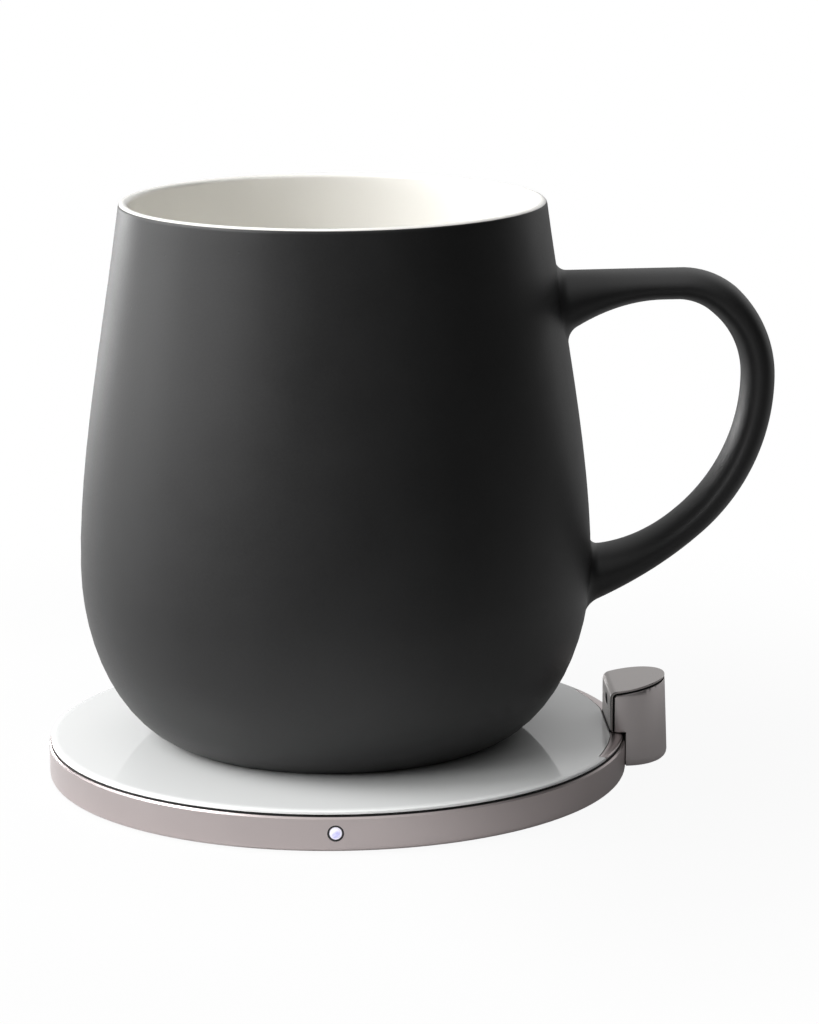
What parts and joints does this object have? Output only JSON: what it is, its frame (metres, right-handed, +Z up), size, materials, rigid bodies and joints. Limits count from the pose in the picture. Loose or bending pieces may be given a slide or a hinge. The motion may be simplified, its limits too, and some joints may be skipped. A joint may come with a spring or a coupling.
{
  "type": "self-heating mug with warming pad",
  "caption": "Round-bellied ceramic mug with a loop handle, standing on a thin round warming pad with a glass top, a small indicator light and a sensor post at its edge.",
  "frame": {"origin": "middle of the pad's underside, on the table", "axes": "+Z up, +X through the sensor post and the mug's handle, the indicator light close to the -Y side"},
  "size_m": [0.1306, 0.1043, 0.1036],
  "materials": {
    "foot_rubber": "matt grey-black rubber",
    "base_plastic": "fine-grained black plastic",
    "screw_steel": "plain zinc-plated steel",
    "rim_metal": "satin rose-grey anodised aluminium",
    "gasket_rubber": "matt black",
    "pad_glass": "glossy glass, painted white at its back",
    "circuit_board": "green solder mask",
    "chip_black": "moulded black",
    "capacitor_body": "tan ceramic body",
    "ferrite": "dark grey sintered ferrite",
    "coil_copper": "lacquered copper wire",
    "sensor_bead": "white bead",
    "light_pipe": "milky clear plastic, lit from behind",
    "collar_black": "black",
    "light_chip": "white housing with yellow phosphor",
    "inlet_steel": "plain steel",
    "post_metal": "satin dark rose-grey anodised aluminium",
    "cover_metal": "satin grey anodised aluminium",
    "window_dark": "glossy dark filter plastic",
    "flex_film": "amber film",
    "charcoal_ceramic": "matt charcoal glaze outside, glossy white glaze inside",
    "seal_silicone": "grey silicone",
    "mica": "pale mica sheet",
    "heater_foil": "etched foil",
    "gap_filler": "soft blue-grey sheet"
  },
  "bodies": {
    "pad": {"foot_pad": "foot_rubber", "base_plate": "base_plastic", "base_screws": "screw_steel", "rim_ring": "rim_metal", "glass_gasket": "gasket_rubber", "glass_top": "pad_glass", "main_board": "circuit_board", "power_chips": "chip_black", "capacitors": "capacitor_body", "coil_tray": "base_plastic", "shield_disc": "ferrite", "transmit_coil": "coil_copper", "coil_leads": "coil_copper", "coil_sensor": "sensor_bead", "led_lens": "light_pipe", "led_collar": "collar_black", "led_chip": "light_chip", "inlet_shell": "inlet_steel", "inlet_tongue": "chip_black", "post_bracket": "rim_metal", "post_shell": "post_metal", "post_cover": "cover_metal", "post_screws": "screw_steel", "sensor_window": "window_dark", "sensor_board": "circuit_board", "sensor_chip": "chip_black", "sensor_flex": "flex_film"},
    "mug": {"mug_body": "charcoal_ceramic", "mug_handle": "charcoal_ceramic", "base_cover": "base_plastic", "cover_seal": "seal_silicone", "receiver_coil": "coil_copper", "receiver_shield": "ferrite", "receiver_board": "circuit_board", "receiver_chips": "chip_black", "foam_ring": "seal_silicone", "mica_disc": "mica", "heater_film": "heater_foil", "thermal_pad": "gap_filler", "mug_sensor": "sensor_bead"}
  },
  "joints": [
    {"name": "mug_lift", "type": "slide", "parent": "pad", "child": "mug", "axis": [0, 0, 1], "range_m": [0, 0.12]}
  ]
}
